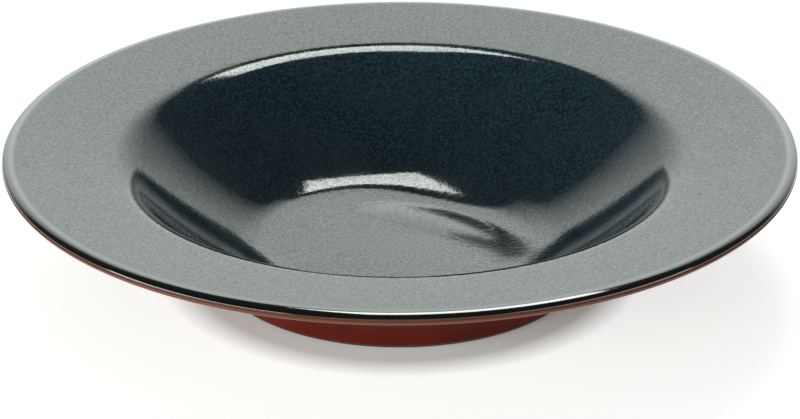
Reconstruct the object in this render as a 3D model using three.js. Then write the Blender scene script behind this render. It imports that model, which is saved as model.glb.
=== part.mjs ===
// A wide-rimmed soup plate: a turned clay body and the three coats of glaze that are melted onto it.
// Millimetres, +Z up, with the origin on the table at the plate's centre.

import * as THREE from 'three';

// Overall size, over the glaze.
const RIM_DIAMETER = 270;
const OVERALL_HEIGHT = 48;

// The rim: a broad flange that rises outwards from the mouth of the well to a rolled lip.
const RIM_SLOPE = 8.4; // degrees
const LIP_TOP_RADIUS = 7;
const LIP_NOSE_RADIUS = 1.8;
const LIP_TURN = 25; // degrees below level at which the lip's top curve tightens into its nose

// The well: a dished floor, a cove that starts gently, a hollow wall and a mouth that rolls over into the rim.
const MOUTH_DIAMETER = 203;
const MOUTH_ROLL_RADIUS = 19.5;
const WALL_RADIUS = 130;
const COVE_RADIUS = 41.5;
const COVE_EASE_RADIUS = 62;
const COVE_EASE_TURN = 9.3; // degrees above level at which the gentle start tightens into the cove
const FLOOR_DIAMETER = 67;
const FLOOR_DISH = 0.3; // how far the floor sinks from its edge to its centre
const FLOOR_HEIGHT = 6.4; // floor's centre above the table

// The underside: the rim thickens towards the mouth, and the wall runs down to a foot ring.
const UNDER_RIM_SLOPE = 9.6; // degrees
const UNDER_MOUTH_RADIUS = 12;
const WALL_THICKNESS = 6; // at its ends, since the wall is hollow and its back is straight
const FOOT_DIAMETER = 128.8;
const FOOT_WIDTH = 6.5;
const FOOT_TAPER = 7; // degrees by which the foot's outer side leans out as it rises
const FOOT_COVE_RADIUS = 9;
const FOOT_EDGE_RADIUS = 1.1;
const RECESS_HEIGHT = 2.4; // base inside the foot ring, above the table
const RECESS_TAPER = 12; // degrees by which the foot's inner side leans in as it rises
const RECESS_COVE_RADIUS = 1.2;

// The glazes, which leave the clay bare on a thin line at the lip and on the foot ring.
const FACE_GLAZE = 0.6;
const BACK_GLAZE = 0.5;
const FACE_GLAZE_END = 74; // degrees below level round the lip's nose
const GLAZE_EDGE = 6; // degrees over which a glaze runs out at the lip
const BARE_LINE = 0.35; // bare clay between the two glazes
const DRY_FOOT = 1; // bare clay above the table, on the foot's outer side
const DRY_FOOT_INSIDE = 0.9;
const FOOT_GLAZE_EDGE = 0.5; // height over which a glaze runs out on the foot

// Facets.
const AROUND = 64;
const CHORD_ERROR = 0.1; // how far a facet's middle may lie from the curve
const SAME_POINT = 1e-6;

const degrees = THREE.MathUtils.degToRad;

// A bend is a stretch of the clay's profile that turns from one heading to another round its centre. The profile is
// walked from the axis over the face, round the lip and back under to the axis, with the clay on the right. A hollow
// bend turns left, so its centre is in the air, and a round bend turns right, with its centre in the clay.
// A point lifted off the clay keeps its bend's centre, so that clay and glaze meet face to face.
function bendPoint(bend, heading, lift) {
  const reach = bend.hollow ? bend.radius - lift : -(bend.radius + lift);
  return new THREE.Vector2(
    bend.centre.x + reach * Math.sin(heading),
    bend.centre.y - reach * Math.cos(heading),
  );
}

function bendPoints(bend, lift) {
  const turn = bend.to - bend.from;
  const widestStep = 2 * Math.acos(1 - Math.min(1, CHORD_ERROR / bend.radius));
  const steps = Math.ceil(Math.abs(turn) / widestStep);
  return Array.from({ length: steps + 1 }, (_, i) => bendPoint(bend, bend.from + (turn * i) / steps, lift));
}

const trace = (bends, lift) => bends.flatMap((bend) => bendPoints(bend, lift));

// A straight stretch is a line with a point on it and a heading.
const along = (heading) => new THREE.Vector2(Math.cos(heading), Math.sin(heading));
const leftOf = (heading) => new THREE.Vector2(-Math.sin(heading), Math.cos(heading));

function crossing(a, b) {
  const aWay = along(a.heading);
  const bWay = along(b.heading);
  const gap = b.point.clone().sub(a.point);
  return a.point.clone().addScaledVector(aWay, gap.cross(bWay) / aWay.cross(bWay));
}

// The bend that joins two straight stretches, touching both.
function fillet(a, b, radius) {
  const hollow = b.heading > a.heading;
  const shift = hollow ? radius : -radius;
  const centre = crossing(
    { point: a.point.clone().addScaledVector(leftOf(a.heading), shift), heading: a.heading },
    { point: b.point.clone().addScaledVector(leftOf(b.heading), shift), heading: b.heading },
  );
  return { centre, radius, hollow, from: a.heading, to: b.heading };
}

// The face, from the floor's centre to the end of the lip's nose.
const rimSlope = degrees(RIM_SLOPE);
const lipTurn = -degrees(LIP_TURN);
const underRim = degrees(UNDER_RIM_SLOPE) - Math.PI;

const noseCentre = new THREE.Vector2(
  RIM_DIAMETER / 2 - LIP_NOSE_RADIUS,
  OVERALL_HEIGHT - LIP_TOP_RADIUS + (LIP_TOP_RADIUS - LIP_NOSE_RADIUS) * Math.cos(lipTurn),
);
const noseRadius = LIP_NOSE_RADIUS - FACE_GLAZE;
const nose = (from, to) => ({ centre: noseCentre, radius: noseRadius, hollow: false, from, to });

const lipTop = {
  centre: new THREE.Vector2(
    noseCentre.x + (LIP_TOP_RADIUS - LIP_NOSE_RADIUS) * Math.sin(lipTurn),
    OVERALL_HEIGHT - LIP_TOP_RADIUS,
  ),
  radius: LIP_TOP_RADIUS - FACE_GLAZE,
  hollow: false,
  from: rimSlope,
  to: lipTurn,
};

const rimEdge = bendPoint(lipTop, rimSlope, FACE_GLAZE);
const mouthRadius = MOUTH_DIAMETER / 2;
const mouthEdge = new THREE.Vector2(mouthRadius, rimEdge.y - (rimEdge.x - mouthRadius) * Math.tan(rimSlope));
const mouthCentre = mouthEdge.clone().addScaledVector(leftOf(rimSlope), -MOUTH_ROLL_RADIUS);

const floorRadius = FLOOR_DIAMETER / 2;
const dishRadius = (floorRadius ** 2 + FLOOR_DISH ** 2) / (2 * FLOOR_DISH);
const floorSlope = Math.asin(floorRadius / dishRadius);
const floorEdge = new THREE.Vector2(floorRadius, FLOOR_HEIGHT + FLOOR_DISH);
const easeTurn = degrees(COVE_EASE_TURN);
const coveEase = {
  centre: floorEdge.clone().addScaledVector(leftOf(floorSlope), COVE_EASE_RADIUS),
  radius: COVE_EASE_RADIUS + FACE_GLAZE,
  hollow: true,
  from: floorSlope,
  to: easeTurn,
};
const coveCentre = bendPoint(coveEase, easeTurn, FACE_GLAZE).addScaledVector(leftOf(easeTurn), COVE_RADIUS);

// The wall is the hollow arc that touches the cove and the mouth's roll. Its centre is found from its distances to
// theirs, and each touching point lies on the line between two centres.
const coveToMouth = mouthCentre.clone().sub(coveCentre);
const mouthWay = Math.atan2(coveToMouth.y, coveToMouth.x);
const centreGap = coveToMouth.length();
const toCove = WALL_RADIUS - COVE_RADIUS;
const toMouth = WALL_RADIUS + MOUTH_ROLL_RADIUS;
const forward = (toCove ** 2 - toMouth ** 2 + centreGap ** 2) / (2 * centreGap);
const wallCentre = coveCentre
  .clone()
  .addScaledVector(along(mouthWay), forward)
  .addScaledVector(leftOf(mouthWay), Math.sqrt(toCove ** 2 - forward ** 2));
const headingAt = (centre) => Math.atan2(centre.x - wallCentre.x, wallCentre.y - centre.y);
const wallStart = headingAt(coveCentre);
const wallEnd = headingAt(mouthCentre);

const dish = {
  centre: new THREE.Vector2(0, FLOOR_HEIGHT + dishRadius),
  radius: dishRadius + FACE_GLAZE,
  hollow: true,
  from: 0,
  to: floorSlope,
};
const cove = {
  centre: coveCentre,
  radius: COVE_RADIUS + FACE_GLAZE,
  hollow: true,
  from: easeTurn,
  to: wallStart,
};
const wall = {
  centre: wallCentre,
  radius: WALL_RADIUS + FACE_GLAZE,
  hollow: true,
  from: wallStart,
  to: wallEnd,
};
const mouthRoll = {
  centre: mouthCentre,
  radius: MOUTH_ROLL_RADIUS - FACE_GLAZE,
  hollow: false,
  from: wallEnd,
  to: rimSlope,
};
const face = [dish, coveEase, cove, wall, mouthRoll, lipTop];

// The lip's nose, in three stretches: under the face glaze, bare, and under the back glaze.
const faceGlazeEnd = -degrees(FACE_GLAZE_END);
const backGlazeStart = faceGlazeEnd - BARE_LINE / noseRadius;
const glazeEdge = degrees(GLAZE_EDGE);
const noseUnderFaceGlaze = nose(lipTurn, faceGlazeEnd);
const noseBare = nose(faceGlazeEnd, backGlazeStart);
const noseUnderBackGlaze = nose(backGlazeStart, underRim);

// The underside, from the lip to the base's centre.
const underLine = { point: bendPoint(noseUnderBackGlaze, underRim, 0), heading: underRim };
// The wall's back lies under the straight line that touches the cove from below and the mouth's roll from above.
const backSlope = mouthWay + Math.asin((COVE_RADIUS + MOUTH_ROLL_RADIUS) / centreGap);
const wallLine = {
  point: coveCentre.clone().addScaledVector(leftOf(backSlope), BACK_GLAZE - COVE_RADIUS - WALL_THICKNESS),
  heading: backSlope - Math.PI,
};
const footSide = {
  point: new THREE.Vector2(FOOT_DIAMETER / 2 - BACK_GLAZE, 0),
  heading: -Math.PI / 2 - degrees(FOOT_TAPER),
};
const footSole = { point: new THREE.Vector2(0, 0), heading: -Math.PI };
const footInside = {
  point: new THREE.Vector2(FOOT_DIAMETER / 2 - BACK_GLAZE - FOOT_WIDTH, 0),
  heading: -1.5 * Math.PI + degrees(RECESS_TAPER),
};
const base = { point: new THREE.Vector2(0, RECESS_HEIGHT), heading: -Math.PI };

const underMouth = fillet(underLine, wallLine, UNDER_MOUTH_RADIUS);
const footCove = fillet(wallLine, footSide, FOOT_COVE_RADIUS);
const footEdge = fillet(footSide, footSole, FOOT_EDGE_RADIUS);
const footInnerEdge = fillet(footSole, footInside, FOOT_EDGE_RADIUS);
const recessCove = fillet(footInside, base, RECESS_COVE_RADIUS);
const baseCentre = (lift) => new THREE.Vector2(0, RECESS_HEIGHT - lift);

// The point of a straight stretch at a given height, lifted off the clay.
function lineAt(line, height, lift) {
  const lifted = { point: line.point.clone().addScaledVector(leftOf(line.heading), lift), heading: line.heading };
  return crossing(lifted, { point: new THREE.Vector2(0, height), heading: 0 });
}

// One sub-part: its profile turned about the plate's axis. Bends that touch share a point, which is kept once.
function turned(name, profile, finish) {
  const outline = profile.filter((point, i) => i === 0 || point.distanceTo(profile[i - 1]) > SAME_POINT);
  const geometry = new THREE.LatheGeometry(outline.reverse(), AROUND);
  geometry.rotateX(Math.PI / 2);
  const mesh = new THREE.Mesh(geometry, new THREE.MeshStandardMaterial(finish));
  mesh.name = name;
  return mesh;
}

// The fired body, with the foot ring turned in one with it.
function clayBody() {
  const lip = [noseUnderFaceGlaze, noseBare, noseUnderBackGlaze];
  const foot = [footCove, footEdge, footInnerEdge, recessCove];
  const profile = [...trace([...face, ...lip, underMouth, ...foot], 0), baseCentre(0)];
  return turned('clay_body', profile, { color: 0x9a4a33, roughness: 0.85, metalness: 0 });
}

// Each glaze runs out over a short bevel at its edge, so its surface ends before its back does.
// The dark glaze lies over the well, the rim and the top of the lip.
function faceGlaze() {
  const surface = trace([...face, nose(lipTurn, faceGlazeEnd + glazeEdge)], FACE_GLAZE);
  const back = trace([...face, noseUnderFaceGlaze], 0);
  return turned('face_glaze', [...surface, ...back.reverse()], { color: 0x24373a, roughness: 0.12, metalness: 0 });
}

// The red glaze on the underside, from the lip to the foot ring's outer side.
function backGlaze() {
  const surface = [
    ...trace([nose(backGlazeStart - glazeEdge, underRim), underMouth, footCove], BACK_GLAZE),
    lineAt(footSide, DRY_FOOT + FOOT_GLAZE_EDGE, BACK_GLAZE),
  ];
  const back = [...trace([noseUnderBackGlaze, underMouth, footCove], 0), lineAt(footSide, DRY_FOOT, 0)];
  return turned('back_glaze', [...surface, ...back.reverse(), surface[0]], { color: 0x6e2417, roughness: 0.2, metalness: 0 });
}

// The red glaze on the base, inside the foot ring.
function baseGlaze() {
  const surface = [
    lineAt(footInside, DRY_FOOT_INSIDE + FOOT_GLAZE_EDGE, BACK_GLAZE),
    ...bendPoints(recessCove, BACK_GLAZE),
    baseCentre(BACK_GLAZE),
  ];
  const back = [lineAt(footInside, DRY_FOOT_INSIDE, 0), ...bendPoints(recessCove, 0), baseCentre(0)];
  return turned('base_glaze', [...back.reverse(), ...surface], { color: 0x6e2417, roughness: 0.25, metalness: 0 });
}

const soupPlate = new THREE.Group();
soupPlate.add(clayBody(), faceGlaze(), backGlaze(), baseGlaze());

export default soupPlate;
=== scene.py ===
import math
from collections import namedtuple

import bpy
from mathutils import Matrix, Vector


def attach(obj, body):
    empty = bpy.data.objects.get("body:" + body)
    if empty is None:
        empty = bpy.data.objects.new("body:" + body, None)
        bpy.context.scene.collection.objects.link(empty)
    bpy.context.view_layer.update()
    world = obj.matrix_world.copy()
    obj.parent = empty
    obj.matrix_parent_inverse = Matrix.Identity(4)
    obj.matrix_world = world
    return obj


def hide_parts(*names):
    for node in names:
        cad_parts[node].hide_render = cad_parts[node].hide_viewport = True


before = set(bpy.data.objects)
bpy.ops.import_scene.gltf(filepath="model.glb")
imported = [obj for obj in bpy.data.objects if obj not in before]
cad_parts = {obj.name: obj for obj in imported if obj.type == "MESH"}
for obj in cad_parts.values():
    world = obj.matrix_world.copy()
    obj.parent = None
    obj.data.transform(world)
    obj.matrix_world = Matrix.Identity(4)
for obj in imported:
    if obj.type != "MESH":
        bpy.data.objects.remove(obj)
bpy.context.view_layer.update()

MM = 0.001

# The plate's turned profile, in millimetres and degrees. The sizes are the CAD model's, except that the
# foot's cove is rounder, the lip turns less, the floor is domed and warped a little, and the plate is
# 0.1 mm lower. A fade gives the radius where an effect is full and the radius where it is gone.
RIM_DIAMETER = 270
OVERALL_HEIGHT = 47.9
RIM_SLOPE = 8.4
LIP_TOP_RADIUS = 7
LIP_NOSE_RADIUS = 1.8
LIP_TURN = 20
MOUTH_DIAMETER = 203
MOUTH_ROLL_RADIUS = 19.5
WALL_RADIUS = 130
COVE_RADIUS = 41.5
COVE_EASE_RADIUS = 62
COVE_EASE_TURN = 9.3
FLOOR_DIAMETER = 67
FLOOR_DISH = -0.2
FLOOR_HEIGHT = 6.7
FLOOR_WARP = 3.9
FLOOR_WARP_RADIUS = 45
FLOOR_WARP_FADE = (35, 53)
FLOOR_WARP_ABOVE = 4.2
UNDER_RIM_SLOPE = 9.6
UNDER_MOUTH_RADIUS = 12
WALL_THICKNESS = 6
FOOT_DIAMETER = 128.8
FOOT_WIDTH = 6.5
FOOT_TAPER = 7
FOOT_COVE_RADIUS = 18
FOOT_EDGE_RADIUS = 1.1
RECESS_HEIGHT = 2.4
RECESS_TAPER = 12
RECESS_COVE_RADIUS = 1.2
FACE_GLAZE = 0.6
BACK_GLAZE = 0.5
FACE_GLAZE_END = 74
BARE_LINE = 0.35
DRY_FOOT = 1
DRY_FOOT_INSIDE = 0.9
GLAZE_BEAD = 0.3

# How finely a profile is drawn and turned.
AROUND = 320
BEND_STEP = math.radians(3)
STRAIGHT_STEP = 2.5
SAME_POINT = 1e-5
MERGE_GAP = 1e-6
SMOOTH_ANGLE = math.radians(40)

# A line of the profile has a point and a heading. A bend turns from one heading to another round its
# centre. The profile is walked from the axis over the face, round the lip and back under to the axis, with
# the clay on the right. A hollow bend turns left and a round one turns right. Its radius is the clay's, and
# the glaze lies at a lift off it.
Line = namedtuple("Line", "point heading")
Bend = namedtuple("Bend", "centre radius hollow start end")
Arc = namedtuple("Arc", "centre start end turn")


def along(heading):
    return Vector((math.cos(heading), math.sin(heading)))


def left_of(heading):
    return Vector((-math.sin(heading), math.cos(heading)))


def bend_point(bend, heading, lift=0):
    reach = bend.radius - lift if bend.hollow else -(bend.radius + lift)
    return bend.centre - reach * left_of(heading)


def crossing(a, b):
    share = (b.point - a.point).cross(along(b.heading)) / along(a.heading).cross(along(b.heading))
    return a.point + share * along(a.heading)


def fillet(a, b, radius):
    hollow = b.heading > a.heading
    shift = radius if hollow else -radius
    beside_a = Line(a.point + shift * left_of(a.heading), a.heading)
    beside_b = Line(b.point + shift * left_of(b.heading), b.heading)
    return Bend(crossing(beside_a, beside_b), radius, hollow, a.heading, b.heading)


def line_at(line, height, lift=0):
    lifted = Line(line.point + lift * left_of(line.heading), line.heading)
    return crossing(lifted, Line(Vector((0, height)), 0))


def arc(bend, lift=0):
    start = bend_point(bend, bend.start, lift)
    end = bend_point(bend, bend.end, lift)
    return Arc(bend.centre, start, end, bend.end - bend.start)


def backwards(arcs):
    return [Arc(a.centre, a.end, a.start, -a.turn) for a in reversed(arcs)]


# The face: the floor, the cove with its ease, the wall, the mouth's roll and the top of the lip.
rim_slope = math.radians(RIM_SLOPE)
lip_turn = -math.radians(LIP_TURN)
under_rim = math.radians(UNDER_RIM_SLOPE) - math.pi
lip_step = LIP_TOP_RADIUS - LIP_NOSE_RADIUS
lip_top_height = OVERALL_HEIGHT - LIP_TOP_RADIUS
nose_height = lip_top_height + lip_step * math.cos(lip_turn)
nose_centre = Vector((RIM_DIAMETER / 2 - LIP_NOSE_RADIUS, nose_height))
nose_radius = LIP_NOSE_RADIUS - FACE_GLAZE
lip_top_centre = Vector((nose_centre.x + lip_step * math.sin(lip_turn), lip_top_height))
lip_top = Bend(lip_top_centre, LIP_TOP_RADIUS - FACE_GLAZE, False, rim_slope, lip_turn)

rim_edge = bend_point(lip_top, rim_slope, FACE_GLAZE)
mouth_radius = MOUTH_DIAMETER / 2
mouth_edge = Vector((mouth_radius, rim_edge.y - (rim_edge.x - mouth_radius) * math.tan(rim_slope)))
mouth_centre = mouth_edge - MOUTH_ROLL_RADIUS * left_of(rim_slope)

floor_radius = FLOOR_DIAMETER / 2
dish_radius = (floor_radius ** 2 + FLOOR_DISH ** 2) / (2 * FLOOR_DISH)
floor_slope = math.asin(floor_radius / dish_radius)
floor_edge = Vector((floor_radius, FLOOR_HEIGHT + FLOOR_DISH))
dish = Bend(Vector((0, FLOOR_HEIGHT + dish_radius)), dish_radius + FACE_GLAZE, True, 0, floor_slope)
ease_turn = math.radians(COVE_EASE_TURN)
ease_centre = floor_edge + COVE_EASE_RADIUS * left_of(floor_slope)
cove_ease = Bend(ease_centre, COVE_EASE_RADIUS + FACE_GLAZE, True, floor_slope, ease_turn)
cove_centre = bend_point(cove_ease, ease_turn, FACE_GLAZE) + COVE_RADIUS * left_of(ease_turn)

# The wall is the hollow arc that touches the cove and the mouth's roll. Its centre is found from its
# distances to theirs, and each touching point lies on the line between two centres.
cove_to_mouth = mouth_centre - cove_centre
mouth_way = math.atan2(cove_to_mouth.y, cove_to_mouth.x)
centre_gap = cove_to_mouth.length
to_cove = WALL_RADIUS - COVE_RADIUS
to_mouth = WALL_RADIUS + MOUTH_ROLL_RADIUS
forward = (to_cove ** 2 - to_mouth ** 2 + centre_gap ** 2) / (2 * centre_gap)
aside = math.sqrt(to_cove ** 2 - forward ** 2)
wall_centre = cove_centre + forward * along(mouth_way) + aside * left_of(mouth_way)
wall_start = math.atan2(cove_centre.x - wall_centre.x, wall_centre.y - cove_centre.y)
wall_end = math.atan2(mouth_centre.x - wall_centre.x, wall_centre.y - mouth_centre.y)

cove = Bend(cove_centre, COVE_RADIUS + FACE_GLAZE, True, ease_turn, wall_start)
wall = Bend(wall_centre, WALL_RADIUS + FACE_GLAZE, True, wall_start, wall_end)
mouth_roll = Bend(mouth_centre, MOUTH_ROLL_RADIUS - FACE_GLAZE, False, wall_end, rim_slope)
face_bends = [dish, cove_ease, cove, wall, mouth_roll, lip_top]

# The lip's nose, which both glazes share, with a bare line of clay between their edges.
face_glaze_end = -math.radians(FACE_GLAZE_END)
back_glaze_start = face_glaze_end - BARE_LINE / nose_radius


def nose(start, end):
    return Bend(nose_centre, nose_radius, False, start, end)


# The underside, from the lip to the base's centre.
under_line = Line(bend_point(nose(lip_turn, under_rim), under_rim), under_rim)
# The wall's back lies under the straight line that touches the cove from below and the mouth's roll from
# above.
back_slope = mouth_way + math.asin((COVE_RADIUS + MOUTH_ROLL_RADIUS) / centre_gap)
wall_point = cove_centre + (BACK_GLAZE - COVE_RADIUS - WALL_THICKNESS) * left_of(back_slope)
wall_line = Line(wall_point, back_slope - math.pi)
foot_outside = FOOT_DIAMETER / 2 - BACK_GLAZE
foot_side = Line(Vector((foot_outside, 0)), -math.pi / 2 - math.radians(FOOT_TAPER))
foot_sole = Line(Vector((0, 0)), -math.pi)
foot_inside = Line(Vector((foot_outside - FOOT_WIDTH, 0)), -1.5 * math.pi + math.radians(RECESS_TAPER))
base = Line(Vector((0, RECESS_HEIGHT)), -math.pi)

under_mouth = fillet(under_line, wall_line, UNDER_MOUTH_RADIUS)
foot_cove = fillet(wall_line, foot_side, FOOT_COVE_RADIUS)
foot_edge = fillet(foot_side, foot_sole, FOOT_EDGE_RADIUS)
foot_inner_edge = fillet(foot_sole, foot_inside, FOOT_EDGE_RADIUS)
recess_cove = fillet(foot_inside, base, RECESS_COVE_RADIUS)


# Turning a piece: one point is extruded along the straight stretches and spun round the bends of its
# profile, and the finished profile is turned round the plate's axis.
def start_profile(name, point):
    bpy.ops.object.select_all(action="DESELECT")
    bpy.ops.mesh.primitive_plane_add(size=MM, location=(0, 0, 0))
    piece = bpy.context.object
    piece.name = name
    bpy.ops.object.mode_set(mode="EDIT")
    bpy.ops.mesh.select_all(action="SELECT")
    bpy.ops.mesh.merge(type="CENTER")
    bpy.ops.transform.translate(value=(point.x * MM, 0, point.y * MM))
    return piece


def draw_straight(start, end):
    length = (end - start).length
    if length < SAME_POINT:
        return
    steps = math.ceil(length / STRAIGHT_STEP)
    step = (end - start) * MM / steps
    for _ in range(steps):
        bpy.ops.mesh.extrude_region_move(TRANSFORM_OT_translate={"value": (step.x, 0, step.y)})


def draw_arc(stretch):
    steps = math.ceil(abs(stretch.turn) / BEND_STEP)
    length = abs(stretch.turn) * (stretch.start - stretch.centre).length
    steps = max(steps, math.ceil(length / STRAIGHT_STEP))
    centre = (stretch.centre.x * MM, 0, stretch.centre.y * MM)
    bpy.ops.mesh.spin(steps=steps, angle=stretch.turn, center=centre, axis=(0, 1, 0))


def turn_piece(name, profile):
    """Turns a profile of arcs and corner points, which closes on itself or ends on the axis."""
    first = profile[0]
    pen = first.start if isinstance(first, Arc) else first
    piece = start_profile(name, pen)
    for stretch in profile:
        is_arc = isinstance(stretch, Arc)
        draw_straight(pen, stretch.start if is_arc else stretch)
        if is_arc:
            draw_arc(stretch)
        pen = stretch.end if is_arc else stretch
    bpy.ops.object.mode_set(mode="OBJECT")
    turning = piece.modifiers.new("turning", "SCREW")
    turning.axis = "Z"
    turning.angle = 2 * math.pi
    turning.steps = turning.render_steps = AROUND
    bpy.ops.object.modifier_apply(modifier=turning.name)
    bpy.ops.object.mode_set(mode="EDIT")
    bpy.ops.mesh.select_all(action="SELECT")
    bpy.ops.mesh.remove_doubles(threshold=MERGE_GAP)
    bpy.ops.mesh.normals_make_consistent(inside=False)
    bpy.ops.object.mode_set(mode="OBJECT")
    bpy.ops.object.shade_smooth_by_angle(angle=SMOOTH_ANGLE)
    return piece


def warp_floor(piece):
    """Twists the well's floor a little, as plates warp in the kiln. It fades out up the cove."""
    full, gone = FLOOR_WARP_FADE
    floor = piece.vertex_groups.new(name="warped_floor")
    for vertex in piece.data.vertices:
        radius = vertex.co.xy.length / MM
        if radius < gone and vertex.co.z / MM > FLOOR_WARP_ABOVE:
            share = min(1, (gone - radius) / (gone - full))
            floor.add([vertex.index], share * share * (3 - 2 * share), "REPLACE")
    bpy.ops.object.select_all(action="DESELECT")
    piece.select_set(True)
    bpy.context.view_layer.objects.active = piece
    twist = piece.modifiers.new("warp", "SIMPLE_DEFORM")
    twist.deform_method = "TWIST"
    twist.deform_axis = "X"
    twist.angle = -math.radians(FLOOR_WARP) * RIM_DIAMETER / FLOOR_WARP_RADIUS
    twist.vertex_group = floor.name
    bpy.ops.object.modifier_apply(modifier=twist.name)
    return piece


def bead(bend, heading, lift, turn):
    """The rounded edge where a glaze stops on the lip, a quarter turn from its surface down to the clay."""
    centre = bend_point(bend, heading, lift - GLAZE_BEAD)
    start = bend_point(bend, heading, lift)
    end = centre + GLAZE_BEAD * along(heading if turn < 0 else heading + math.pi)
    return Arc(centre, start, end, turn)


def bead_angle(lift):
    return math.atan(GLAZE_BEAD / (nose_radius + lift - GLAZE_BEAD))


def clay_body():
    dark_lip = nose(lip_turn, face_glaze_end)
    bare_lip = nose(face_glaze_end, back_glaze_start)
    red_lip = nose(back_glaze_start, under_rim)
    foot = [foot_cove, foot_edge, foot_inner_edge, recess_cove]
    bends = [*face_bends, dark_lip, bare_lip, red_lip, under_mouth, *foot]
    profile = [*[arc(b) for b in bends], Vector((0, RECESS_HEIGHT))]
    return warp_floor(turn_piece("clay_body_turned", profile))


def face_glaze():
    edge = face_glaze_end + bead_angle(FACE_GLAZE)
    surface = [arc(b, FACE_GLAZE) for b in [*face_bends, nose(lip_turn, edge)]]
    stop = bead(nose(lip_turn, edge), edge, FACE_GLAZE, -math.pi / 2)
    back = backwards([arc(b) for b in [*face_bends, nose(lip_turn, face_glaze_end)]])
    return warp_floor(turn_piece("face_glaze_coat", [*surface, stop, *back]))


def back_glaze():
    edge = back_glaze_start - bead_angle(BACK_GLAZE)
    lip = nose(edge, under_rim)
    start = backwards([bead(lip, edge, BACK_GLAZE, math.pi / 2)])
    surface = [arc(b, BACK_GLAZE) for b in [lip, under_mouth, foot_cove]]
    drip = line_at(foot_side, DRY_FOOT + GLAZE_BEAD, BACK_GLAZE)
    stop = line_at(foot_side, DRY_FOOT, BACK_GLAZE - GLAZE_BEAD)
    back = backwards([arc(b) for b in [nose(back_glaze_start, under_rim), under_mouth, foot_cove]])
    profile = [*start, *surface, drip, stop, line_at(foot_side, DRY_FOOT), *back, start[0].start]
    return turn_piece("back_glaze_coat", profile)


def base_glaze():
    drip = line_at(foot_inside, DRY_FOOT_INSIDE + GLAZE_BEAD, BACK_GLAZE)
    stop = line_at(foot_inside, DRY_FOOT_INSIDE, BACK_GLAZE - GLAZE_BEAD)
    surface = [line_at(foot_inside, DRY_FOOT_INSIDE), stop, drip, arc(recess_cove, BACK_GLAZE)]
    back = [Vector((0, RECESS_HEIGHT)), *backwards([arc(recess_cove)])]
    profile = [*surface, Vector((0, RECESS_HEIGHT - BACK_GLAZE)), *back, surface[0]]
    return turn_piece("base_glaze_coat", profile)


# Finishes. A node is made with its values, and links join named sockets.
def set_inputs(node, values):
    for name, value in values.items():
        node.inputs[name].default_value = value
    return node


def new_group(name, inputs, outputs):
    group = bpy.data.node_groups.new(name, "ShaderNodeTree")
    for label, value in inputs.items():
        socket = group.interface.new_socket(label, in_out="INPUT", socket_type="NodeSocketFloat")
        socket.default_value = value
    for label, kind in outputs.items():
        group.interface.new_socket(label, in_out="OUTPUT", socket_type=kind)
    return group, group.nodes.new("NodeGroupInput"), group.nodes.new("NodeGroupOutput")


def noise(tree, place, scale, detail=2.0, roughness=0.5):
    node = tree.nodes.new("ShaderNodeTexNoise")
    set_inputs(node, {"Detail": detail, "Roughness": roughness})
    tree.links.new(place, node.inputs["Vector"])
    if hasattr(scale, "links"):
        tree.links.new(scale, node.inputs["Scale"])
    else:
        node.inputs["Scale"].default_value = scale
    return node.outputs["Fac"]


def span(tree, value, low, high, out_low=0.0, out_high=1.0):
    node = tree.nodes.new("ShaderNodeMapRange")
    set_inputs(node, {"From Min": low, "From Max": high, "To Min": out_low, "To Max": out_high})
    tree.links.new(value, node.inputs["Value"])
    return node.outputs["Result"]


def math_node(tree, operation, a, b=None):
    node = tree.nodes.new("ShaderNodeMath")
    node.operation = operation
    for socket, value in zip(node.inputs, (a, b)):
        if value is None:
            continue
        if isinstance(value, (int, float)):
            socket.default_value = value
        else:
            tree.links.new(value, socket)
    return node.outputs["Value"]


def mix_colour(tree, share, a, b):
    node = tree.nodes.new("ShaderNodeMix")
    node.data_type = "RGBA"
    sockets = [s for s in node.inputs if s.type == "RGBA"]
    tree.links.new(share, node.inputs["Factor"])
    for socket, colour in zip(sockets, (a, b)):
        if isinstance(colour, tuple):
            socket.default_value = (*colour, 1)
        else:
            tree.links.new(colour, socket)
    return next(s for s in node.outputs if s.type == "RGBA")


def object_place(tree):
    return tree.nodes.new("ShaderNodeTexCoord").outputs["Object"]


def axis_distance(tree, place):
    """How far a place is from the plate's axis."""
    level = tree.nodes.new("ShaderNodeVectorMath")
    level.operation = "MULTIPLY"
    level.inputs[1].default_value = (1, 1, 0)
    tree.links.new(place, level.inputs[0])
    distance = tree.nodes.new("ShaderNodeVectorMath")
    distance.operation = "LENGTH"
    tree.links.new(level.outputs["Vector"], distance.inputs[0])
    return distance.outputs["Value"]


def pebbled_skin_group():
    """The fine pebbled skin of a fired glaze: a normal, and a mottle that goes with the pebbles."""
    inputs = {"Pebble Scale": 450.0, "Pebble Depth": 0.00005, "Swell Scale": 60.0, "Swell Depth": 0.00005}
    outputs = {"Normal": "NodeSocketVector", "Mottle": "NodeSocketFloat"}
    group, given, result = new_group("pebbled_skin", inputs, outputs)
    place = object_place(group)
    pebbles = noise(group, place, given.outputs["Pebble Scale"], detail=2.0, roughness=0.55)
    swell = noise(group, place, given.outputs["Swell Scale"], detail=1.0, roughness=0.4)
    left_over = span(group, axis_distance(group, place), *LIP_SMOOTHING, 1.0, LIP_PEBBLES)
    high = math_node(group, "MULTIPLY", pebbles, given.outputs["Pebble Depth"])
    high = math_node(group, "MULTIPLY", high, left_over)
    wide = math_node(group, "MULTIPLY", swell, given.outputs["Swell Depth"])
    bump = group.nodes.new("ShaderNodeBump")
    set_inputs(bump, {"Strength": 1.0, "Distance": 1.0})
    group.links.new(math_node(group, "ADD", high, wide), bump.inputs["Height"])
    group.links.new(bump.outputs["Normal"], result.inputs["Normal"])
    group.links.new(pebbles, result.inputs["Mottle"])
    return group


def new_finish(name, values):
    finish = bpy.data.materials.new(name)
    finish.use_nodes = True
    tree = finish.node_tree
    shader = tree.nodes["Principled BSDF"]
    set_inputs(shader, values)
    return finish, tree, shader


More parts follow.
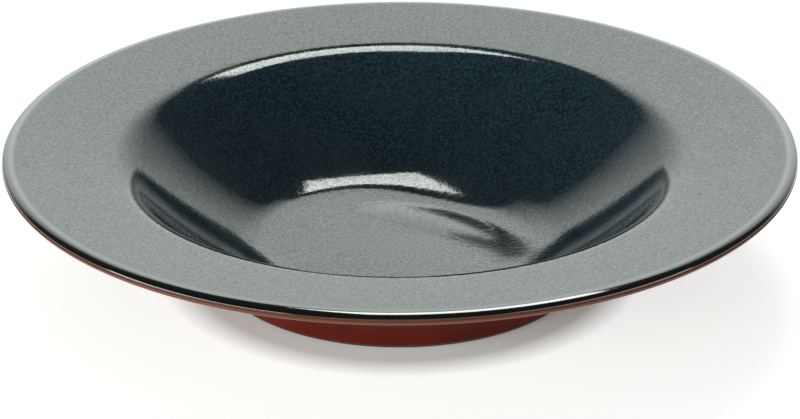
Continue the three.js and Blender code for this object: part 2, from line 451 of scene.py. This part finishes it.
def place_group(tree, group, values):
    node = tree.nodes.new("ShaderNodeGroup")
    node.node_tree = group
    return set_inputs(node, values)


# Colours of the two glazes and the clay, and of the shade and light painted on them, in linear light.
DARK_TEAL = (0.0135, 0.0325, 0.0480)
DARK_INK = (0.0024, 0.0066, 0.0098)
DARK_MOSS = (0.0114, 0.0228, 0.0265)
# Near black over the lip: painted shade on the lip's outer face, in place of the dark the lip reflects.
LIP_PAINTED_SHADE = (0.0010, 0.0010, 0.0007)
RUST = (0.030, 0.009, 0.003)
BRICK = (0.088, 0.0075, 0.0022)
OXBLOOD = (0.064, 0.0050, 0.0016)
# A lighter tan on the red glaze toward the lip: painted light, standing in for the table's reflection and
# the front lamps on the lip's underside.
LIP_PAINTED_LIGHT = (0.130, 0.036, 0.019)
CLAY_RED = (0.120, 0.040, 0.020)
CLAY_DARK = (0.070, 0.024, 0.013)
# Dark brown at the very bottom of the foot: painted contact shadow where the foot meets the table.
FOOT_PAINTED_SHADOW = (0.016, 0.007, 0.005)

# Where a finish changes, as distances from the plate's axis or as heights.
LIP_SMOOTHING = (129.5 * MM, 131.5 * MM)
# Where the painted shade on the lip comes in.
LIP_PAINTED_SHADE_SPAN = (130.5 * MM, 132.5 * MM)
LIP_BREAK = (134.2 * MM, 134.9 * MM)
LIP_BREAK_HEIGHT = (46.6 * MM, 45.4 * MM)
# Where the painted light on the lip's underside rises.
LIP_PAINTED_LIGHT_SPAN = (125 * MM, 131 * MM)
# How high the painted contact shadow reaches up the foot.
FOOT_PAINTED_SHADOW_HEIGHT = (0.6 * MM, 1.3 * MM)

# The share of the pebbles' depth that is left on the lip.
LIP_PEBBLES = 0.05

# The dark glaze's shine, its pebbles, its fine grain, its slow drift of colour and its pits.
DARK_SHINE = {"IOR": 1.5, "Specular IOR Level": 0.25, "Coat IOR": 1.5, "Coat Roughness": 0.06}
DARK_PEBBLES = {"Pebble Scale": 480.0, "Pebble Depth": 0.00005, "Swell Scale": 70.0, "Swell Depth": 0.00003}
DARK_GRAIN_SCALE = 1000.0
DARK_GRAIN_RANGE = (0.40, 0.64)
DARK_DRIFT_SCALE = 45.0
DARK_DRIFT_RANGE = (0.35, 0.65)
DARK_DRIFT_SHARE = 0.4
DARK_ROUGHNESS = (0.07, 0.13)
DARK_PIT_SCALE = 1050.0
DARK_PIT_RANGE = (0.3, 0.7)
DARK_COAT = (0.12, 0.72)

# The red glaze's shine, its shallow swells, its drift of colour and its grain.
RED_SHINE = {"IOR": 1.5, "Specular IOR Level": 0.15}
RED_PEBBLES = {"Pebble Scale": 700.0, "Pebble Depth": 0.000008, "Swell Scale": 55.0, "Swell Depth": 0.00008}
RED_DRIFT_SCALE = 60.0
RED_DRIFT_RANGE = (0.3, 0.7)
RED_GRAIN_RANGE = (0.35, 0.65)
RED_GRAIN_SHARE = 0.3
RED_ROUGHNESS = (0.16, 0.26)

# The bare clay's grit and its drift of colour.
CLAY_GRIT_SCALE = 1800.0
CLAY_GRIT_RANGE = (0.3, 0.7)
CLAY_GRIT_BUMP = {"Strength": 0.6, "Distance": 0.00005}
CLAY_DRIFT_SCALE = 90.0
CLAY_DRIFT_RANGE = (0.3, 0.7)
CLAY_ROUGHNESS = (0.7, 0.95)


def dark_glaze_finish(skin):
    finish, tree, shader = new_finish("dark_glaze", DARK_SHINE)
    place = object_place(tree)
    pebbles = place_group(tree, skin, DARK_PEBBLES)
    tree.links.new(pebbles.outputs["Normal"], shader.inputs["Normal"])
    grain = span(tree, noise(tree, place, DARK_GRAIN_SCALE, roughness=0.55), *DARK_GRAIN_RANGE)
    drift = span(tree, noise(tree, place, DARK_DRIFT_SCALE, detail=3.0), *DARK_DRIFT_RANGE)
    body = mix_colour(tree, grain, DARK_INK, DARK_TEAL)
    body = mix_colour(tree, math_node(tree, "MULTIPLY", drift, DARK_DRIFT_SHARE), body, DARK_MOSS)
    radius = axis_distance(tree, place)
    # Painted shade: the dark glaze's colour turns near black over the lip.
    body = mix_colour(tree, span(tree, radius, *LIP_PAINTED_SHADE_SPAN), body, LIP_PAINTED_SHADE)
    up = tree.nodes.new("ShaderNodeSeparateXYZ")
    tree.links.new(place, up.inputs["Vector"])
    far_out = span(tree, radius, *LIP_BREAK)
    low_down = span(tree, up.outputs["Z"], *LIP_BREAK_HEIGHT)
    thin = math_node(tree, "MULTIPLY", far_out, low_down)
    tree.links.new(mix_colour(tree, thin, body, RUST), shader.inputs["Base Color"])
    tree.links.new(span(tree, drift, 0.0, 1.0, *DARK_ROUGHNESS), shader.inputs["Roughness"])
    pits = span(tree, noise(tree, place, DARK_PIT_SCALE, roughness=0.6), *DARK_PIT_RANGE, *DARK_COAT)
    polish = math_node(tree, "MAXIMUM", pits, span(tree, radius, *LIP_SMOOTHING))
    tree.links.new(polish, shader.inputs["Coat Weight"])
    return finish


def red_glaze_finish(skin):
    finish, tree, shader = new_finish("red_glaze", RED_SHINE)
    place = object_place(tree)
    pebbles = place_group(tree, skin, RED_PEBBLES)
    tree.links.new(pebbles.outputs["Normal"], shader.inputs["Normal"])
    drift = span(tree, noise(tree, place, RED_DRIFT_SCALE, detail=4.0), *RED_DRIFT_RANGE)
    grain = span(tree, pebbles.outputs["Mottle"], *RED_GRAIN_RANGE)
    body = mix_colour(tree, drift, OXBLOOD, BRICK)
    body = mix_colour(tree, math_node(tree, "MULTIPLY", grain, RED_GRAIN_SHARE), body, OXBLOOD)
    # Painted light: the red glaze turns a lighter tan toward the lip's nose.
    body = mix_colour(tree, span(tree, axis_distance(tree, place), *LIP_PAINTED_LIGHT_SPAN), body, LIP_PAINTED_LIGHT)
    tree.links.new(body, shader.inputs["Base Color"])
    tree.links.new(span(tree, drift, 0.0, 1.0, *RED_ROUGHNESS), shader.inputs["Roughness"])
    return finish


def fired_clay_finish():
    finish, tree, shader = new_finish("fired_clay", {})
    place = object_place(tree)
    grit = noise(tree, place, CLAY_GRIT_SCALE, detail=3.0, roughness=0.6)
    drift = span(tree, noise(tree, place, CLAY_DRIFT_SCALE, detail=3.0), *CLAY_DRIFT_RANGE)
    body = mix_colour(tree, drift, CLAY_DARK, CLAY_RED)
    up = tree.nodes.new("ShaderNodeSeparateXYZ")
    tree.links.new(place, up.inputs["Vector"])
    # Painted shadow: the bare clay turns dark brown at the very bottom of the foot.
    body = mix_colour(tree, span(tree, up.outputs["Z"], *FOOT_PAINTED_SHADOW_HEIGHT), FOOT_PAINTED_SHADOW, body)
    tree.links.new(body, shader.inputs["Base Color"])
    tree.links.new(span(tree, grit, *CLAY_GRIT_RANGE, *CLAY_ROUGHNESS), shader.inputs["Roughness"])
    bump = tree.nodes.new("ShaderNodeBump")
    set_inputs(bump, CLAY_GRIT_BUMP)
    tree.links.new(grit, bump.inputs["Height"])
    tree.links.new(bump.outputs["Normal"], shader.inputs["Normal"])
    return finish


def dress(piece, finish, node):
    piece.data.materials.clear()
    piece.data.materials.append(finish)
    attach(piece, "root")
    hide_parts(node)


pebbled_skin = pebbled_skin_group()
dark_glaze = dark_glaze_finish(pebbled_skin)
red_glaze = red_glaze_finish(pebbled_skin)
fired_clay = fired_clay_finish()
dress(clay_body(), fired_clay, "clay_body")
dress(face_glaze(), dark_glaze, "face_glaze")
dress(back_glaze(), red_glaze, "back_glaze")
dress(base_glaze(), red_glaze, "base_glaze")


# The camera looks down on the plate from the front.
CAMERA_REACH = 0.945
CAMERA_HEIGHT_ANGLE = math.radians(23.17)
CAMERA_PITCH = math.radians(24.67)
CAMERA_ROLL = math.radians(0.23)
CAMERA_LENS = 124.6
CAMERA_SENSOR = 36


def place_camera():
    back = CAMERA_REACH * math.cos(CAMERA_HEIGHT_ANGLE)
    up = OVERALL_HEIGHT * MM + CAMERA_REACH * math.sin(CAMERA_HEIGHT_ANGLE)
    bpy.ops.object.camera_add(location=(0, -back, up))
    camera = bpy.context.object
    tilt = Matrix.Rotation(math.pi / 2 - CAMERA_PITCH, 3, "X")
    camera.rotation_euler = (tilt @ Matrix.Rotation(-CAMERA_ROLL, 3, "Z")).to_euler()
    camera.data.lens = CAMERA_LENS
    camera.data.sensor_width = CAMERA_SENSOR
    bpy.context.scene.camera = camera


# The studio: a pale table, a bright backdrop behind it, one softbox above and behind, two broad lamps at
# the front, and a dark room otherwise. The table lets the camera through from below, to show the underside.
FLOOR_REACH = 6.0
FLOOR_SIDES = 96
FLOOR_GAP = 0.05 * MM
FLOOR_WHITE = (0.80, 0.80, 0.80)
FLOOR_GLOW = 0.59
FLOOR_SHADOW_GLOW = 0.059
FLOOR_SHADOW = (72 * MM, 84 * MM)
FLOOR_FAR = (0.35, 0.9)
LIGHT_COLOUR = (0.935, 1.0, 0.94)
SOFTBOX_PLACE = (0.115, 0.66, 1.1)
SOFTBOX_SIZE = (0.50, 0.385)
SOFTBOX_TURN = math.radians(19)
SOFTBOX_POWER = 7.0
FRONT_LAMP_REACH = 1.2
FRONT_LAMP_SIDE = math.radians(55)
FRONT_LAMP_HEIGHT = 0.26
FRONT_LAMP_SIZE = (1.2, 0.45)
FRONT_LAMP_POWERS = (22.0, 8.5)
BACKDROP_TOP = math.radians(44)
BACKDROP_TOP_FADE = 0.012
BACKDROP_RISE = (math.radians(8), math.radians(40))
BACKDROP_LEVELS = (1.25, 2.8)
BACKDROP_FULL = math.radians(12)
BACKDROP_NARROWING = (math.radians(15), math.radians(40))
BACKDROP_ENDS = (math.radians(60), math.radians(30))
ROOM_LEVEL = 0.1


def lay_floor():
    bpy.ops.object.select_all(action="DESELECT")
    bpy.ops.mesh.primitive_circle_add(
        vertices=FLOOR_SIDES, radius=FLOOR_REACH, fill_type="NGON", location=(0, 0, -FLOOR_GAP))
    table = bpy.context.object
    table.name = "studio_table"
    finish = bpy.data.materials.new("studio_table")
    finish.use_nodes = True
    tree = finish.node_tree
    tree.nodes.clear()
    matt = tree.nodes.new("ShaderNodeBsdfDiffuse")
    matt.inputs["Color"].default_value = (*FLOOR_WHITE, 1)
    glow = tree.nodes.new("ShaderNodeEmission")
    path = tree.nodes.new("ShaderNodeLightPath")
    seen = math_node(tree, "MAXIMUM", path.outputs["Is Camera Ray"], path.outputs["Is Glossy Ray"])
    seen = math_node(tree, "MAXIMUM", seen, path.outputs["Is Transmission Ray"])
    distance = axis_distance(tree, object_place(tree))
    beside = span(tree, distance, *FLOOR_SHADOW, FLOOR_SHADOW_GLOW, FLOOR_GLOW)
    far = span(tree, distance, *FLOOR_FAR, 0.0, 1.0 - FLOOR_GLOW)
    bright = math_node(tree, "ADD", beside, far)
    tree.links.new(math_node(tree, "MULTIPLY", seen, bright), glow.inputs["Strength"])
    both = tree.nodes.new("ShaderNodeAddShader")
    tree.links.new(matt.outputs[0], both.inputs[0])
    tree.links.new(glow.outputs[0], both.inputs[1])
    facing = tree.nodes.new("ShaderNodeNewGeometry")
    choose = tree.nodes.new("ShaderNodeMixShader")
    tree.links.new(facing.outputs["Backfacing"], choose.inputs["Fac"])
    tree.links.new(both.outputs[0], choose.inputs[1])
    tree.links.new(tree.nodes.new("ShaderNodeBsdfTransparent").outputs[0], choose.inputs[2])
    out = tree.nodes.new("ShaderNodeOutputMaterial")
    tree.links.new(choose.outputs[0], out.inputs["Surface"])
    table.data.materials.append(finish)


def hang_softbox():
    bpy.ops.object.light_add(type="AREA", location=SOFTBOX_PLACE, rotation=(0, 0, SOFTBOX_TURN))
    lamp = bpy.context.object
    lamp.name = "softbox"
    lamp.data.shape = "RECTANGLE"
    lamp.data.size, lamp.data.size_y = SOFTBOX_SIZE
    lamp.data.energy = SOFTBOX_POWER
    lamp.data.color = LIGHT_COLOUR


def stand_front_lamps():
    """Two broad lamps, left and right of the camera, light the table and the plate's underside."""
    for side, power in zip((-1, 1), FRONT_LAMP_POWERS):
        away = Vector((side * math.sin(FRONT_LAMP_SIDE), -math.cos(FRONT_LAMP_SIDE), 0)) * FRONT_LAMP_REACH
        place = away + Vector((0, 0, FRONT_LAMP_HEIGHT))
        aim = place.to_track_quat("Z", "Y").to_euler()
        bpy.ops.object.light_add(type="AREA", location=place, rotation=aim)
        lamp = bpy.context.object
        lamp.name = "front_lamp_left" if side < 0 else "front_lamp_right"
        lamp.data.shape = "RECTANGLE"
        lamp.data.size, lamp.data.size_y = FRONT_LAMP_SIZE
        lamp.data.energy = power
        lamp.data.color = LIGHT_COLOUR


def light_backdrop():
    """A backdrop behind the table that brightens upward, narrows upward and fades to both sides."""
    world = bpy.context.scene.world or bpy.data.worlds.new("studio")
    bpy.context.scene.world = world
    world.use_nodes = True
    tree = world.node_tree
    tree.nodes.clear()
    way = tree.nodes.new("ShaderNodeSeparateXYZ")
    tree.links.new(tree.nodes.new("ShaderNodeTexCoord").outputs["Generated"], way.inputs["Vector"])
    rise = math_node(tree, "ARCSINE", way.outputs["Z"])
    side = math_node(tree, "ARCTAN2", way.outputs["X"], way.outputs["Y"])
    lift = span(tree, rise, *BACKDROP_RISE, *BACKDROP_LEVELS)
    top = span(tree, rise, BACKDROP_TOP - BACKDROP_TOP_FADE, BACKDROP_TOP + BACKDROP_TOP_FADE, 1.0, 0.0)
    end = span(tree, rise, *BACKDROP_NARROWING, *BACKDROP_ENDS)
    inside_end = math_node(tree, "SUBTRACT", end, math_node(tree, "ABSOLUTE", side))
    fade = math_node(tree, "DIVIDE", inside_end, math_node(tree, "SUBTRACT", end, BACKDROP_FULL))
    middle = span(tree, fade, 0.0, 1.0)
    glow = math_node(tree, "MULTIPLY", math_node(tree, "MULTIPLY", lift, top), middle)
    glow = math_node(tree, "ADD", glow, ROOM_LEVEL)
    studio = tree.nodes.new("ShaderNodeBackground")
    studio.inputs["Color"].default_value = (*LIGHT_COLOUR, 1)
    tree.links.new(glow, studio.inputs["Strength"])
    out = tree.nodes.new("ShaderNodeOutputWorld")
    tree.links.new(studio.outputs[0], out.inputs["Surface"])


place_camera()
lay_floor()
hang_softbox()
stand_front_lamps()
light_backdrop()
bpy.context.scene.view_settings.view_transform = "Standard"
